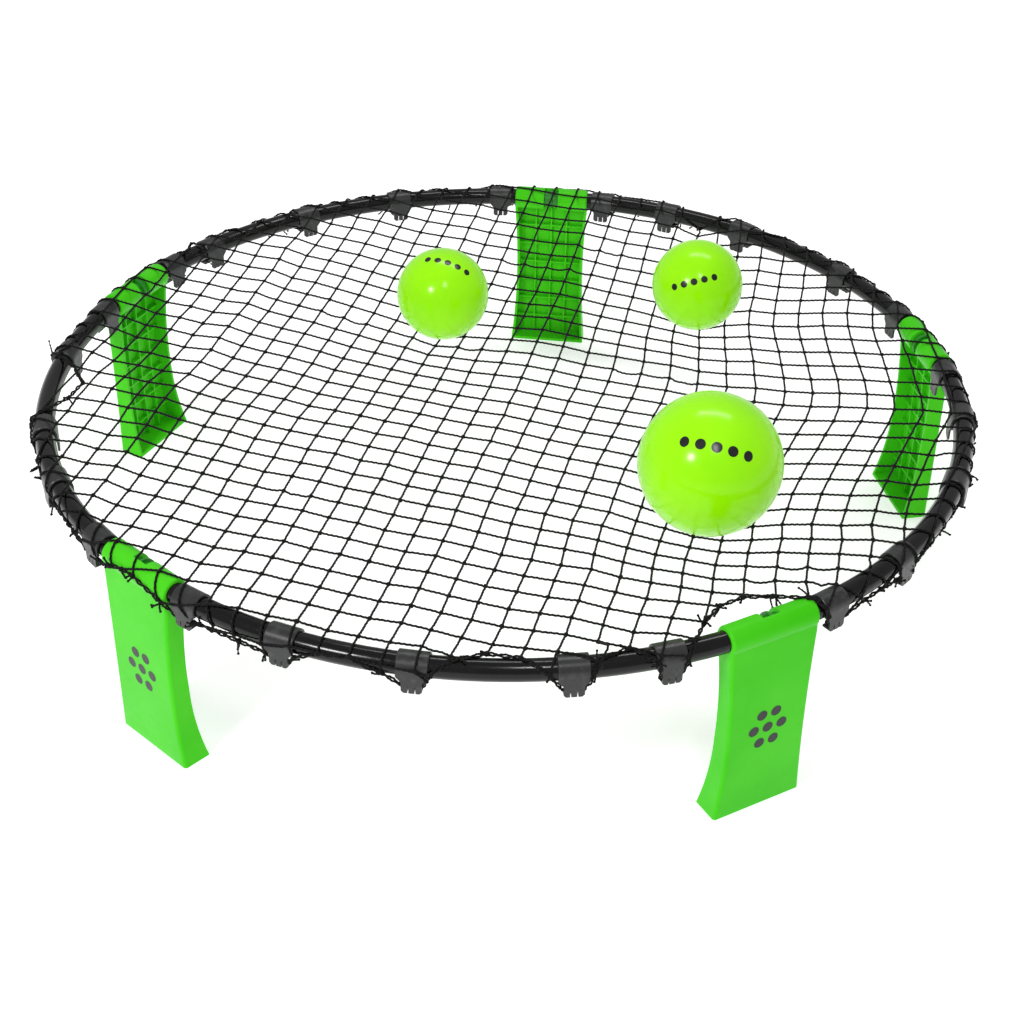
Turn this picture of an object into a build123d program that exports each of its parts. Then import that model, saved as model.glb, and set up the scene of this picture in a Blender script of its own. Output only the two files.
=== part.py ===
"""Roundnet set: a ring of five steel tubes on five legs, a net hooked over it, and three balls.

Millimetres, +Z up. The origin is on the floor under the ring's centre. The rear leg stands at
90 degrees, on +Y.
"""
from build123d import *
from math import cos, hypot, radians, sin, sqrt, tan
import os

os.makedirs("parts", exist_ok=True)

# ---- Driving dimensions -------------------------------------------------------------------------
SOCKET_RADIUS = 444.5  # from the ring's centre to the tube's axis inside a leg
AXIS_HEIGHT = 187.5  # of the tube's axis, which is also each leg's hinge axis
TUBE_OD = 19.0
TUBE_WALL = 1.2
TUBE_END = 10.0  # from a leg's middle plane to the end of the tube
TUBE_STRAIGHT = 45.0  # from a leg's middle plane to the end of the tube's straight stretch
BEND_ANGLE = 5.5  # between the straight end and the long arc of each tube
BEND_RADIUS = 40.0
RUNNING_GAP = 0.07  # radial, between the tube and the leg's socket
PLUG_GAP = 0.05  # radial, between the plug and the tube's bore
PLUG_CHAMFER = 1.0

LEG_WALL = 3.0
HOOD_RADIUS = 12.9
HOOD_HALF_WIDTH = 43.4
WAIST_HALF_WIDTH = 40.4
FOOT_HALF_WIDTH = 45.0
WAIST_HEIGHT = 80.0
FOOT_OUT = 13.2  # from the hinge axis out to the foot's outer edge
FOOT_IN = 13.6  # from the hinge axis in to the foot's inner edge
HEEL_IN = 7.2  # from the hinge axis in to the side walls' edge, up the leg
HEEL_HEIGHT = 32.0
WAIST_IN = 3.9
CALF_HEIGHT = 125.0
SHOULDER_IN = 7.0
PANEL_TOP = 11.2  # from the hinge axis out to the panel where it meets the hood
PANEL_BOW = 14.6  # from the hinge axis out to the panel half way up
EDGE_RADIUS = 3.0  # down the panel's two long edges
CREASE_RADIUS = 5.0  # between the hood and the panel
RIB_DEPTH = 5.0
RIB_WIDTH = 1.8
UPRIGHT_RIBS = 3
CROSS_RIBS = 6
FOLD_ANGLE = 72.0
NOTCH_WIDTH = 17.0  # the notch over the hood's top and inner side, where the stop key runs
KEY_START = 81.0  # degrees, from straight out towards straight up
KEY_SWEEP = 131.0
KEY_GAP = 1.0  # degrees, between the key and the notch's end at each stop
KEY_WIDTH = 2.4
KEY_RADIUS = 12.3

HOOK_WIDTH = 26.0
HOOK_WALL = 2.0
HOOK_BORE = 9.8
HOOK_DROP = 20.0  # from the tube's axis to the bottom of the tabs
HOOK_MOUTH = 110.0  # degrees of the band's underside left open, to snap it over the tube
TAB_WIDTH = 17.0
TAB_CORNER = 2.0
TAB_TAPER = 5.0  # height over which the band narrows to the tab
LIP_REACH = 4.0  # from the tube's axis out to the lip that holds the net's edge
LIP_HEIGHT = 4.0
LIP_WALL = 1.6
BAND_CHAMFER = 0.6
SLIT_WIDTH = 1.0
SLIT_HEIGHT = 6.0

NET_THICKNESS = 1.2
NET_FLOOR = 160.0  # the height of the net's top face where the balls rest
NET_FLAT_RADIUS = 300.0
NET_EDGE_RADIUS = 11.4  # round the tube's axis, where the net's edge laps over it
NET_SLOPE = 15.0  # degrees, where the net's side meets the tube
NET_CUT_GAP = 2.2  # between the net and a leg's hood
HOOK_CUT_GAP = 0.5  # between the net and a hook
NET_LAP_ANGLE = 45.0  # how far out over the tube the edge laps, from straight out

BALL_WALL = 2.0
BALL_GAP = 0.3  # between a ball and the net
VALVE_RADIUS = 3.0
VALVE_LENGTH = 6.0
VALVE_GAP = 0.1
VALVE_RECESS = 0.3  # below the ball's surface
FLANGE_RADIUS = 4.0
NEEDLE_RADIUS = 0.6

LEGS = {"rear": 90.0, "left": 162.0, "front_left": 234.0, "front_right": 306.0, "right": 18.0}
# Each tube starts at the leg named, and the angles are its hooks', from that leg. The hooks slide
# along the tube by hand, so they aren't evenly spaced.
TUBES = {
    "front": ("front_left", (8.0, 20.0, 34.0, 50.0, 60.0)),
    "right_front": ("front_right", (8.0, 20.0, 38.0, 53.0, 64.0)),
    "right_rear": ("right", (8.0, 22.0, 41.0, 53.5, 64.0)),
    "left_rear": ("rear", (8.0, 24.0, 39.0, 56.0, 64.0)),
    "left_front": ("left", (8.0, 20.0, 38.5, 50.5, 64.0)),
}
BALLS = {  # radius, and the place of the centre in plan
    "small_ball_left": (48.5, (-85.0, 137.0)),
    "small_ball_right": (48.5, (183.0, 199.0)),
    "large_ball": (65.0, (206.0, -182.0)),
}

# ---- Worked out from them -----------------------------------------------------------------------
TUBE_RADIUS = TUBE_OD / 2
SOCKET_BORE = TUBE_RADIUS + RUNNING_GAP
LEG_STEP = 360 / len(LEGS)
HALF_STEP = radians(LEG_STEP / 2)
bend = radians(BEND_ANGLE)
bend_end_x = SOCKET_RADIUS - BEND_RADIUS * (1 - cos(bend))
bend_end_y = TUBE_STRAIGHT + BEND_RADIUS * sin(bend)
# The long arc is tangent to both bends, so its centre lies on the line half way between two legs.
RIM_RADIUS = (bend_end_x * tan(HALF_STEP) - bend_end_y) / (cos(bend) * tan(HALF_STEP) - sin(bend))
RIM_OFFSET = (bend_end_x - RIM_RADIUS * cos(bend)) / cos(HALF_STEP)
RIM_MEAN = (SOCKET_RADIUS + RIM_OFFSET + RIM_RADIUS) / 2


def side_plane(angle):
    """The upright plane through a leg's middle: x is out from the hinge axis, y is height."""
    out = Vector(cos(radians(angle)), sin(radians(angle)), 0)
    return Plane(origin=out * SOCKET_RADIUS, x_dir=out, z_dir=out.cross(Vector(0, 0, 1)))


def front_plane(angle):
    """The upright plane through a leg's hinge axis: x runs along the axis, y is height."""
    out = Vector(cos(radians(angle)), sin(radians(angle)), 0)
    return Plane(origin=out * SOCKET_RADIUS, x_dir=Vector(0, 0, 1).cross(out), z_dir=out)


def rim_plane(leg_angle, hook_angle):
    """The upright plane square to the long arc of a tube: x is out from its axis, y is height."""
    middle = radians(leg_angle + LEG_STEP / 2)
    ray = radians(leg_angle + hook_angle)
    along = RIM_OFFSET * cos(ray - middle)
    reach = along + sqrt(RIM_RADIUS**2 - RIM_OFFSET**2 + along**2)
    point = Vector(reach * cos(ray), reach * sin(ray), 0)
    out = (point - Vector(RIM_OFFSET * cos(middle), RIM_OFFSET * sin(middle), 0)).normalized()
    return Plane(origin=point, x_dir=out, z_dir=out.cross(Vector(0, 0, 1)))


def wedge_outline(start, end, radius):
    """Lines round a wedge from the hinge axis, between two angles up from straight out."""
    axis = (0, AXIS_HEIGHT)
    rim = CenterArc(axis, radius, start, end - start)
    Line(axis, rim @ 0)
    Line(axis, rim @ 1)


# ---- Ring: five bent tubes, pushed onto a plug inside each leg ------------------------------------
def make_tube(name, angle):
    out = Vector(cos(radians(angle)), sin(radians(angle)), 0)
    along = Vector(0, 0, 1).cross(out)
    socket = out * SOCKET_RADIUS + Vector(0, 0, AXIS_HEIGHT)
    with BuildPart() as tube:
        with BuildLine() as path:
            first = Line(socket + along * TUBE_END, socket + along * TUBE_STRAIGHT)
            first_bend = JernArc(first @ 1, first % 1, BEND_RADIUS, BEND_ANGLE)
            long_arc = JernArc(first_bend @ 1, first_bend % 1, RIM_RADIUS, LEG_STEP - 2 * BEND_ANGLE)
            last_bend = JernArc(long_arc @ 1, long_arc % 1, BEND_RADIUS, BEND_ANGLE)
            Line(last_bend @ 1, (last_bend @ 1) + (last_bend % 1) * (TUBE_STRAIGHT - TUBE_END))
        with BuildSketch(Plane(origin=path.line @ 0, z_dir=path.line % 0)):
            Circle(TUBE_RADIUS)
            Circle(TUBE_RADIUS - TUBE_WALL, mode=Mode.SUBTRACT)
        sweep(path=path.line)
    tube.part.label = name
    export_step(tube.part, f"parts/{name}.step")


def make_joiner(name, angle):
    """The plug that joins two tubes inside a leg. Its key stops the leg upright and folded."""
    side = side_plane(angle)
    axis = (0, AXIS_HEIGHT)
    with BuildPart() as joiner:
        with BuildSketch(side):
            with Locations(axis):
                Circle(TUBE_RADIUS - TUBE_WALL - PLUG_GAP)
        extrude(amount=TUBE_STRAIGHT - PLUG_CHAMFER, both=True)
        chamfer(joiner.edges().filter_by(GeomType.CIRCLE), PLUG_CHAMFER)
        with BuildSketch(side):
            with Locations(axis):
                Circle(TUBE_RADIUS)
        extrude(amount=TUBE_END, both=True)
        with BuildSketch(side):
            with BuildLine():
                wedge_outline(KEY_START, KEY_START + KEY_SWEEP, KEY_RADIUS)
            make_face()
        extrude(amount=KEY_WIDTH / 2, both=True)
    joiner.part.label = name
    export_step(joiner.part, f"parts/{name}.step")


# ---- Legs: moulded shells, open towards the ring's centre -----------------------------------------
SHOULDER = AXIS_HEIGHT - HOOD_RADIUS  # where the inner edge leaves the hood


def panel_arc(inset=0.0):
    """The bowed outer face in side view, from the hood down to the floor."""
    return ThreePointArc(
        (PANEL_TOP - inset, AXIS_HEIGHT - HOOD_RADIUS / 4),
        (PANEL_BOW - inset, AXIS_HEIGHT / 2),
        (FOOT_OUT - inset, 0),
    )


def front_outline(inset=0.0):
    """The waisted outline in front view, from the floor to above the hood."""
    top = AXIS_HEIGHT + 2 * HOOD_RADIUS
    right = ThreePointArc(
        (FOOT_HALF_WIDTH - inset, 0),
        (WAIST_HALF_WIDTH - inset, WAIST_HEIGHT),
        (HOOD_HALF_WIDTH - inset, SHOULDER),
    )
    rise = Line(right @ 1, (HOOD_HALF_WIDTH - inset, top))
    across = Line(rise @ 1, (-HOOD_HALF_WIDTH + inset, top))
    fall = Line(across @ 1, (-HOOD_HALF_WIDTH + inset, SHOULDER))
    left = ThreePointArc(
        fall @ 1,
        (-WAIST_HALF_WIDTH + inset, WAIST_HEIGHT),
        (-FOOT_HALF_WIDTH + inset, 0),
    )
    Line(left @ 1, right @ 0)


def make_cavity(angle):
    """The hollow behind the panel, between the side walls and above the foot's plate."""
    with BuildPart() as cavity:
        with BuildSketch(side_plane(angle)):
            with BuildLine():
                face = panel_arc(LEG_WALL)
                Polyline(
                    face @ 1,
                    (-2 * FOOT_IN, 0),
                    (-2 * FOOT_IN, AXIS_HEIGHT),
                    face @ 0,
                )
            make_face()
            with Locations((0, AXIS_HEIGHT)):
                Circle(HOOD_RADIUS, mode=Mode.SUBTRACT)
                Rectangle(4 * FOOT_IN, 2 * HOOD_RADIUS * sin(radians(45)), mode=Mode.SUBTRACT)
            with Locations((0, LEG_WALL / 2)):
                Rectangle(4 * FOOT_IN, LEG_WALL, mode=Mode.SUBTRACT)
        extrude(amount=FOOT_HALF_WIDTH, both=True)
        with BuildSketch(front_plane(angle)):
            with BuildLine():
                front_outline(LEG_WALL)
            make_face()
        extrude(amount=3 * FOOT_IN, both=True, mode=Mode.INTERSECT)
    return cavity.part


def make_ribs(angle):
    """Shallow ribs on the back of the panel: uprights and a ladder of cross ribs."""
    pitch = 2 * (WAIST_HALF_WIDTH - LEG_WALL) / (UPRIGHT_RIBS + 1)
    lowest = SHOULDER / (CROSS_RIBS + 1)
    with BuildPart() as ribs:
        with BuildSketch(side_plane(angle)):
            with BuildLine():
                back = panel_arc(LEG_WALL - 0.5)
                front = panel_arc(LEG_WALL + RIB_DEPTH)
                Line(back @ 0, front @ 0)
                Line(back @ 1, front @ 1)
            make_face()
        extrude(amount=FOOT_HALF_WIDTH, both=True)
        with BuildSketch(front_plane(angle)):
            with Locations((0, SHOULDER / 2)):
                with GridLocations(pitch, 1, UPRIGHT_RIBS, 1):
                    Rectangle(RIB_WIDTH, SHOULDER - RIB_WIDTH)
                with GridLocations(1, lowest, 1, CROSS_RIBS):
                    Rectangle(2 * WAIST_HALF_WIDTH - LEG_WALL, RIB_WIDTH)
        extrude(amount=3 * FOOT_IN, both=True, mode=Mode.INTERSECT)
    return ribs.part


def is_panel_side(edge, angle):
    """Whether an edge is one of the two long ones down the sides of the outer face."""
    middle = side_plane(angle).to_local_coords(edge @ 0.5)
    return edge.length > AXIS_HEIGHT / 2 and middle.X > PANEL_TOP


def is_crease(edge, angle):
    """Whether an edge is the long one across the leg where the panel meets the hood."""
    middle = side_plane(angle).to_local_coords(edge @ 0.5)
    beside_hood = middle.X > HOOD_RADIUS / 2 and SHOULDER < middle.Y < AXIS_HEIGHT
    return edge.length > HOOD_HALF_WIDTH and beside_hood


def make_leg(name, angle):
    cavity = make_cavity(angle)
    ribs = make_ribs(angle)
    side = side_plane(angle)
    axis = (0, AXIS_HEIGHT)
    with BuildPart() as leg:
        with BuildSketch(side):
            with BuildLine():
                face = panel_arc()
                foot = Line(face @ 1, (-FOOT_IN, 0))
                heel = ThreePointArc(foot @ 1, (-HEEL_IN, HEEL_HEIGHT), (-WAIST_IN, WAIST_HEIGHT))
                back = ThreePointArc(heel @ 1, (-WAIST_IN, CALF_HEIGHT), (-SHOULDER_IN, SHOULDER))
                top = Line(back @ 1, (-SHOULDER_IN, AXIS_HEIGHT))
                Line(top @ 1, face @ 0)
            make_face()
            with Locations(axis):
                Circle(HOOD_RADIUS)
        extrude(amount=FOOT_HALF_WIDTH, both=True)
        with BuildSketch(front_plane(angle)):
            with BuildLine():
                front_outline()
            make_face()
        extrude(amount=3 * FOOT_IN, both=True, mode=Mode.INTERSECT)
        fillet(leg.edges().filter_by(lambda edge: is_crease(edge, angle)), CREASE_RADIUS)
        fillet(leg.edges().filter_by(lambda edge: is_panel_side(edge, angle)), EDGE_RADIUS)
        add(cavity, mode=Mode.SUBTRACT)
        add(ribs)
        with BuildSketch(side):
            with Locations(axis):
                Circle(SOCKET_BORE)
        extrude(amount=FOOT_HALF_WIDTH, both=True, mode=Mode.SUBTRACT)
        with BuildSketch(side):
            with BuildLine():
                notch_end = KEY_START + KEY_SWEEP + FOLD_ANGLE + KEY_GAP
                wedge_outline(KEY_START - KEY_GAP, notch_end, HOOD_RADIUS + 1)
            make_face()
        extrude(amount=NOTCH_WIDTH / 2, both=True, mode=Mode.SUBTRACT)
    leg.part.label = name
    export_step(leg.part, f"parts/{name}.step")


# ---- Net hooks: bands that snap over the tube, with a tab that holds the net's edge --------------
def tab_outline(plane):
    """What is cut from a hook in front view: beside its tabs on both sides, and their two slits."""
    wide, narrow = HOOK_WIDTH / 2, TAB_WIDTH / 2
    taper_low = AXIS_HEIGHT - TUBE_RADIUS
    bottom = AXIS_HEIGHT - HOOK_DROP
    with BuildSketch(Plane(origin=plane.origin, x_dir=plane.z_dir, z_dir=-plane.x_dir)) as outline:
        for side in (-1, 1):
            with BuildLine():
                Polyline(
                    (side * wide, taper_low + TAB_TAPER),
                    (side * narrow, taper_low),
                    (side * narrow, bottom + TAB_CORNER),
                    (side * (narrow - TAB_CORNER), bottom),
                    (side * (narrow - TAB_CORNER), bottom - 1),
                    (side * (wide + 1), bottom - 1),
                    (side * (wide + 1), taper_low + TAB_TAPER),
                    close=True,
                )
            make_face()
            with Locations((side * TAB_WIDTH / 6, bottom)):
                Rectangle(SLIT_WIDTH, 2 * SLIT_HEIGHT)
    return outline.sketch


def make_hook(name, plane):
    rim = HOOK_BORE + HOOK_WALL
    bottom = AXIS_HEIGHT - HOOK_DROP
    outline = tab_outline(plane)
    with BuildPart() as hook:
        with BuildSketch(plane):
            with Locations((0, AXIS_HEIGHT)):
                Circle(rim)
            with BuildLine():
                half_mouth = HOOK_MOUTH / 2
                wedge_outline(270 - half_mouth, 270 + half_mouth, 2 * rim)
            make_face(mode=Mode.SUBTRACT)
            with Locations((HOOK_BORE, bottom)):
                Rectangle(HOOK_WALL, HOOK_DROP, align=(Align.MIN, Align.MIN))
            with Locations((-HOOK_BORE, bottom)):
                Rectangle(HOOK_WALL, HOOK_DROP, align=(Align.MAX, Align.MIN))
            with Locations((rim, bottom)):
                Rectangle(rim - LIP_REACH, HOOK_WALL, align=(Align.MAX, Align.MIN))
            with Locations((LIP_REACH, bottom)):
                Rectangle(LIP_WALL, LIP_HEIGHT, align=(Align.MIN, Align.MIN))
            with Locations((0, AXIS_HEIGHT)):
                Circle(HOOK_BORE, mode=Mode.SUBTRACT)
        extrude(amount=HOOK_WIDTH / 2, both=True)
        extrude(outline, amount=2 * rim, both=True, mode=Mode.SUBTRACT)
        chamfer(hook.edges().filter_by(lambda edge: is_band_corner(edge, plane)), BAND_CHAMFER)
    hook.part.label = name
    export_step(hook.part, f"parts/{name}.step")


def is_band_corner(edge, plane):
    """Whether an edge is one of the two outer ones round the band."""
    middle = plane.to_local_coords(edge @ 0.5)
    outside = hypot(middle.X, middle.Y - AXIS_HEIGHT) > HOOK_BORE + HOOK_WALL / 2
    return outside and abs(abs(middle.Z) - HOOK_WIDTH / 2) < 0.01 and middle.Y > AXIS_HEIGHT


# ---- Net: a flat middle and five sloping sides that lap over the tubes ----------------------------
def make_net_middle():
    with BuildPart() as middle:
        with BuildSketch(Plane.XY.offset(NET_FLOOR - NET_THICKNESS)):
            Circle(NET_FLAT_RADIUS)
        extrude(amount=NET_THICKNESS)
    middle.part.label = "net_middle"
    export_step(middle.part, "parts/net_middle.step")


def lap_point(radius, degrees_out):
    """A point of the net's edge in side view, at an angle up from straight out over the tube."""
    turn = radians(degrees_out)
    return (RIM_MEAN + radius * cos(turn), AXIS_HEIGHT + radius * sin(turn))


def make_net_side(name, leg_angle, hook_angles):
    """One fifth of the sloping net, cut away at the legs and round the hooks."""
    under_radius = NET_EDGE_RADIUS
    over_radius = NET_EDGE_RADIUS + NET_THICKNESS
    meets = 90 + NET_SLOPE
    with BuildPart() as net:
        with BuildSketch(Plane.XZ.rotated((0, 0, leg_angle))):
            with BuildLine():
                slope = Line((NET_FLAT_RADIUS, NET_FLOOR), lap_point(over_radius, meets))
                over = RadiusArc(slope @ 1, lap_point(over_radius, NET_LAP_ANGLE), over_radius)
                edge = Line(over @ 1, lap_point(under_radius, NET_LAP_ANGLE))
                under = RadiusArc(edge @ 1, lap_point(under_radius, meets), -under_radius)
                below = NET_FLOOR - NET_THICKNESS
                Polyline(under @ 1, (NET_FLAT_RADIUS, below), slope @ 0)
            make_face()
        revolve(axis=Axis.Z, revolution_arc=LEG_STEP)
        for end_angle in (leg_angle, leg_angle + LEG_STEP):
            with BuildSketch(Plane.XY.rotated((0, 0, end_angle)).offset(AXIS_HEIGHT)):
                with Locations((SOCKET_RADIUS, 0)):
                    Rectangle(2 * (HOOD_RADIUS + NET_CUT_GAP), 2 * (HOOD_HALF_WIDTH + NET_CUT_GAP))
            extrude(amount=2 * HOOD_RADIUS, both=True, mode=Mode.SUBTRACT)
        for hook_angle in hook_angles:
            with BuildSketch(rim_plane(leg_angle, hook_angle)):
                with Locations((0, AXIS_HEIGHT)):
                    Circle(HOOK_BORE + HOOK_WALL + HOOK_CUT_GAP)
            extrude(amount=HOOK_WIDTH / 2 + HOOK_CUT_GAP, both=True, mode=Mode.SUBTRACT)
    net.part.label = name
    export_step(net.part, f"parts/{name}.step")


# ---- Balls: hollow shells, each with a valve plug on the side facing the rear leg -----------------
def valve_plane(radius, place, reach=0.0):
    """Square to the valve's axis, at a distance from the ball's centre."""
    centre = Vector(*place, NET_FLOOR + BALL_GAP + radius)
    return Plane(origin=centre + Vector(0, reach, 0), z_dir=(0, 1, 0))


def make_ball(name, radius, place):
    with BuildPart() as ball:
        with Locations((*place, NET_FLOOR + BALL_GAP + radius)):
            Sphere(radius)
            Sphere(radius - BALL_WALL, mode=Mode.SUBTRACT)
        with BuildSketch(valve_plane(radius, place)):
            Circle(VALVE_RADIUS)
        extrude(amount=2 * radius, mode=Mode.SUBTRACT)
    ball.part.label = name
    export_step(ball.part, f"parts/{name}.step")


def make_valve(name, radius, place):
    """A soft plug through the ball's wall, with a flange inside and a hole for the needle."""
    inner_end = valve_plane(radius, place, radius - VALVE_LENGTH)
    with BuildPart() as valve:
        with BuildSketch(inner_end):
            Circle(VALVE_RADIUS - VALVE_GAP)
        extrude(amount=VALVE_LENGTH - VALVE_RECESS)
        with BuildSketch(inner_end):
            Circle(FLANGE_RADIUS)
        extrude(amount=BALL_WALL)
        with BuildSketch(inner_end):
            Circle(NEEDLE_RADIUS)
        extrude(amount=VALVE_LENGTH, mode=Mode.SUBTRACT)
    valve.part.label = name
    export_step(valve.part, f"parts/{name}.step")


for tube_name, (leg, hook_angles) in TUBES.items():
    start = LEGS[leg]
    make_tube(f"rim_tube_{tube_name}", start)
    make_net_side(f"net_side_{tube_name}", start, hook_angles)
    for number, hook_angle in enumerate(hook_angles, start=1):
        make_hook(f"net_hook_{tube_name}_{number}", rim_plane(start, hook_angle))
make_net_middle()
for leg, leg_angle in LEGS.items():
    make_joiner(f"tube_joiner_{leg}", leg_angle)
    make_leg(f"leg_{leg}", leg_angle)
for ball_name, (ball_radius, ball_place) in BALLS.items():
    make_ball(ball_name, ball_radius, ball_place)
    make_valve(f"{ball_name}_valve", ball_radius, ball_place)
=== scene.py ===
"""Looks of the roundnet set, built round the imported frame.

Metres, +Z up, the origin on the floor under the ring's centre, the rear leg on +Y. The net is laid
over the ring as a flat mesh of cords and let go: it slides, sags and comes to rest on the frame.
"""
import math
import bpy
import numpy as np
from mathutils import Matrix, Vector
from mathutils.bvhtree import BVHTree


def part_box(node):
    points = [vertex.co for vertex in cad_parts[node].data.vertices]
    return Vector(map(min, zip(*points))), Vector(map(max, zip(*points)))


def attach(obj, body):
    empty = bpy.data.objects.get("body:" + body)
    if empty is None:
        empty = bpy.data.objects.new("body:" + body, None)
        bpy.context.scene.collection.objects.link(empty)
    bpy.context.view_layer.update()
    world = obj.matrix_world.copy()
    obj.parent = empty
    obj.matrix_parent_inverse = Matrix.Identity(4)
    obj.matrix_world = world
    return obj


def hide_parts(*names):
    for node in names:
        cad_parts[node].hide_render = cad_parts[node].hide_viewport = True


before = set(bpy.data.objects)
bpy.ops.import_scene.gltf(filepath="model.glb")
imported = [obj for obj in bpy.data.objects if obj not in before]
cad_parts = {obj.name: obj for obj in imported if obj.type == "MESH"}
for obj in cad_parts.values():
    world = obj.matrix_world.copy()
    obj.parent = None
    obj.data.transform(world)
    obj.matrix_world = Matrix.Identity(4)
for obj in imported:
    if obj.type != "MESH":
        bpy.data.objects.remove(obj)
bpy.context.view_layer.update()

# ---- The frame's dimensions, as in the CAD -------------------------------------------------------
SOCKET_RADIUS = 0.4445  # from the ring's centre to the tube's axis inside a leg
AXIS_HEIGHT = 0.1875
TUBE_RADIUS = 0.0095
TUBE_STRAIGHT = 0.045  # from a leg's middle to the end of the tube's straight stretch
BEND_ANGLE = math.radians(5.5)
BEND_RADIUS = 0.040
HOOD_RADIUS = 0.0129
HOOD_HALF_WIDTH = 0.0434
BAND_RADIUS = 0.0118
BAND_HALF_WIDTH = 0.013
POCKET_OUT = 0.0077  # from the tube's axis to the hook's pocket, which holds the net's edge
POCKET_DOWN = 0.0158

TUBES = ("front", "right_front", "right_rear", "left_rear", "left_front")
LEGS = ("rear", "left", "front_left", "front_right", "right")
HOOKS_PER_TUBE = 5
BALLS = ("small_ball_left", "small_ball_right", "large_ball")

# ---- The net's dimensions ------------------------------------------------------------------------
CORD_RADIUS = 0.00105
CORD_PITCH = 0.014
CORD_SPACING = 0.0018  # between the rings of points along a cord
EDGE_CORD_RADIUS = 0.001
EDGE_CORD_PITCH = 0.012
PAIR_REACH = 0.0011  # from the edge's middle line out to each of its two cords
PAIR_PITCH = 0.022  # along the edge, for one turn of its cords round each other
KNOT_RADIUS = 0.0021
KNOT_STEP = 0.0006  # how far a cord steps aside at a knot, one way and then the other
EDGE_KNOT_RADIUS = 0.0026

CELL = 0.0263  # between the knots
ROW_TURN = -10.0  # degrees
COLUMN_TURN = 84.0
LATTICE_SHIFT = (0.31, 0.42)  # of a knot from the net's centre, in cells
SPARE_LINES = 3  # tried beyond the net's radius on each side
EDGE_MARGIN = 0.3  # no knot is nearer the edge than this, in cells
LINE_SEARCH = 2.5  # how far past its last knot a line is followed to the edge, in cells
BISECTIONS = 24
NET_RADIUS = 0.478  # of the net's edge, laid flat
TIGHTNESS = 0.993  # of the cells between the knots, against the flat mesh
EDGE_TIGHTNESS = 0.985
UNEVENNESS = 0.014
STAGGER = 0.085  # how far a column of knots is pulled along against its neighbours, in cells
FOLD_SHIFT = 0.036  # how far the rows are dragged towards the right leg, at the fold's middle
FOLD_LINE = 0.075  # the fold's middle, across the rows from the centre of the net
FOLD_SPREAD = 0.11
FOLD_START = -0.05  # where along the rows the drag begins
FOLD_RUN = 0.35  # over which it grows to its full size
TUCKED_SPANS = (  # where the net is short of the ring, from hook to hook in degrees, and by how much
    (182.0, 200.5, 0.070),
    (226.0, 242.0, 0.016),
    (254.0, 268.0, 0.020),
    (268.0, 284.0, 0.040),
    (284.0, 294.0, 0.040),
    (294.0, 314.0, 0.074),
)
OUTER_SIDE = 0.003  # what hangs over the tube stays this far out from its axis, below it
EDGE_LIMIT = 0.466  # no cut end on the net's edge reaches further out

TAIL_RADIUS = 0.85 * CORD_RADIUS  # of the short cut ends at the edge's knots
TAIL_PITCH = 0.008
TAIL_COUNTS = (0, 4)  # at a knot, the second not reached
TAIL_LENGTHS = (0.003, 0.0075)
TAIL_OUTWARD = 0.6  # how much they favour pointing out
TAIL_CURL = 0.9
TAIL_POINTS = 7
TAIL_KNOT_RADIUS = 0.0012

LATTICE_SEED = 3
CELL_SEED = 11
KNOT_SEED = 5
EDGE_KNOT_SEED = 6
TAIL_SEED = 8

# ---- How the net is laid over the ring, and how it settles ----------------------------------------
DRAPE_LIFT = 0.003  # between the tube and the net laid over it
CREST_IN = 0.003  # from the tube's axis in to where the net starts to wrap round the tube
WRAP_START = 105.0  # degrees round the tube's axis, from straight out towards straight up
WRAP_END = -62.0  # where the wrap stops at a hook
WRAP_LOOSER = 112.0  # how many degrees sooner it stops away from the hooks
HOOK_NEAR = 0.008  # along the ring, where the wrap starts to loosen
HOOK_FADE = 0.02  # over which it loosens
FIRST_SAG = 0.03
FALL = 4e-7  # per round
DAMPING = 0.97
KNOT_GRIP = 0.02
LENGTH_PASSES = 8  # in a round
HANG_REACH = 0.425  # what starts within this of the ring's centre falls
TOUCH_REACH = 0.405  # only what is further out can touch the ring
TOUCH_EVERY = 25  # rounds between two looks at what is further out
COARSE_LINKS, FINE_LINKS = 2, 4  # to a cell's side
COARSE_ROUNDS, FINE_ROUNDS = ((900, 300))

# ---- The balls' dimensions and the marks ----------------------------------------------------------
BALL_WALL = 0.002
VALVE_HOLE = 0.003
HOLE_LIP = 0.0003  # the bevel round the valve's hole
BALL_SIDES = 128
BALL_RINGS = 44  # on each side of the parting ridge
RIDGE_STEP = math.radians(0.5)
RIDGE_HEIGHT = 0.00012
POLE_GAP = 0.01  # radians, closed by one flat face at the far pole

MARK_LIFT = 0.00012  # of printed ink over the surface
DOT_RINGS, DOT_SIDES = 3, 24
BALL_MARK_STEPS = range(-2, 3)
BALL_MARKS = (  # ball, the way the mark faces, the row's tilt in degrees, the dots' radius and spacing
    ("large_ball", (0.05, -0.70, 0.71), -11, 0.0048, 0.0145),
    ("small_ball_left", (0.17, -0.33, 0.93), -36, 0.0036, 0.0112),
    ("small_ball_right", (-0.08, -0.86, 0.50), 20, 0.0036, 0.0112),
)
LEG_DOTS = ((-1, 0), (0, 0), (1, 0), (-0.5, 1), (0.5, 1), (-0.5, -1), (0.5, -1))
LEG_DOT_RADIUS = 0.0052
LEG_DOTS_ACROSS, LEG_DOTS_UP = 0.0142, 0.0150  # between two dots
LEG_MARK_HEIGHT = 0.090  # of the cluster's middle over the floor
RAY_START = 0.6  # from the ring's axis, well outside the legs

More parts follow.
